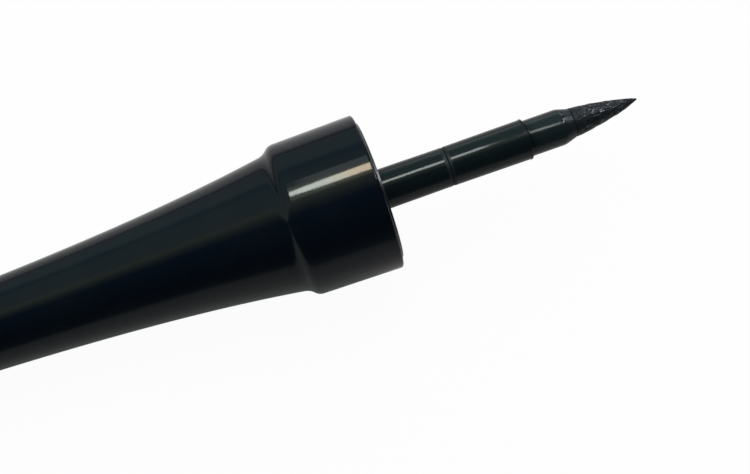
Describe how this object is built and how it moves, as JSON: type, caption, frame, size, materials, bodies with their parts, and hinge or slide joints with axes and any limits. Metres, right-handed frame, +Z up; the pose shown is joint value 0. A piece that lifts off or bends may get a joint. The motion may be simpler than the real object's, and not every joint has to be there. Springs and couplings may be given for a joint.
{
  "type": "liquid eyeliner applicator cap",
  "caption": "Black screw cap with a long flared hollow handle, carrying a slim stem and a pointed felt nib that draws liquid eyeliner.",
  "frame": {"origin": "on the ground, under the middle of the part's box", "axes": "+X along the length towards the nib, +Z up; the part lies on its side on the collar and the handle's end"},
  "size_m": [0.0942, 0.014, 0.0142],
  "materials": {
    "cap_gloss": "polished black moulding",
    "insert_plastic": "satin black polypropylene",
    "seal": "natural soft polyethylene",
    "stem_plastic": "glossy black moulding with an ink film",
    "felt": "black felt wet with ink"
  },
  "bodies": {
    "root": {"outer_cap": "cap_gloss", "inner_cap": "insert_plastic", "seal_ring": "seal", "stem": "stem_plastic", "tip_sleeve": "stem_plastic", "nib_holder": "stem_plastic", "felt_nib": "felt"}
  },
  "joints": []
}
